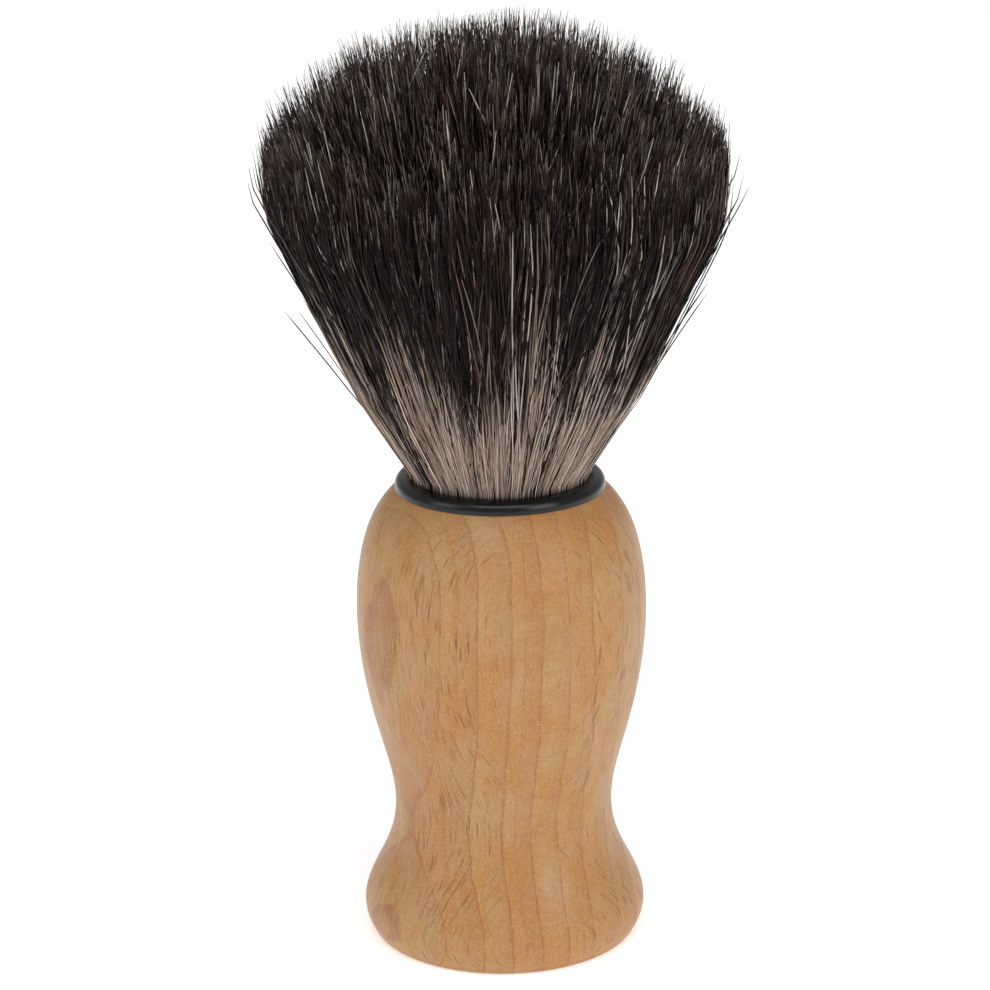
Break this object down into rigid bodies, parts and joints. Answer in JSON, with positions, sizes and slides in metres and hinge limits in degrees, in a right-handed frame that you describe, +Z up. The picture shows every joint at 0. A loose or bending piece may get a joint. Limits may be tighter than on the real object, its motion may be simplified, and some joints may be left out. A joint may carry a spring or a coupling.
{
  "type": "shaving brush",
  "caption": "Shaving brush with a turned wooden handle, a black collar ring and a full domed hair knot, dark at the tips and pale at the roots.",
  "frame": {"origin": "centre of the handle's flat base, on the surface the brush stands on", "axes": "+Z up along the turning axis, from the base to the hair tips; X and Y are alike, as the brush is round"},
  "size_m": [0.0556, 0.0556, 0.1105],
  "materials": {
    "lacquered_beech": "satin",
    "black_collar": "gloss",
    "cast_resin": "satin",
    "waxed_thread": "matte",
    "adhesive": "satin",
    "hair_pale": "satin",
    "hair_dark": "satin"
  },
  "bodies": {
    "handle": {"handle": "lacquered_beech", "collar_ring": "black_collar", "knot_plug": "cast_resin", "knot_binding": "waxed_thread", "socket_glue": "adhesive", "hair_roots": "hair_pale"},
    "neck": {"hair_neck": "hair_pale"},
    "crown": {"hair_crown": "hair_dark"}
  },
  "joints": [
    {"name": "knot_bend_side", "type": "hinge", "parent": "handle", "child": "neck", "pos_m": [0, 0, 0.064], "axis": [0, 1, 0], "range_deg": [-25, 25], "stiffness_Nm_per_rad": 0.1, "deforming": ["hair_neck"]},
    {"name": "knot_bend_fore", "type": "hinge", "parent": "neck", "child": "crown", "pos_m": [0, 0, 0.082], "axis": [1, 0, 0], "range_deg": [-25, 25], "stiffness_Nm_per_rad": 0.1, "deforming": ["hair_neck"]}
  ]
}
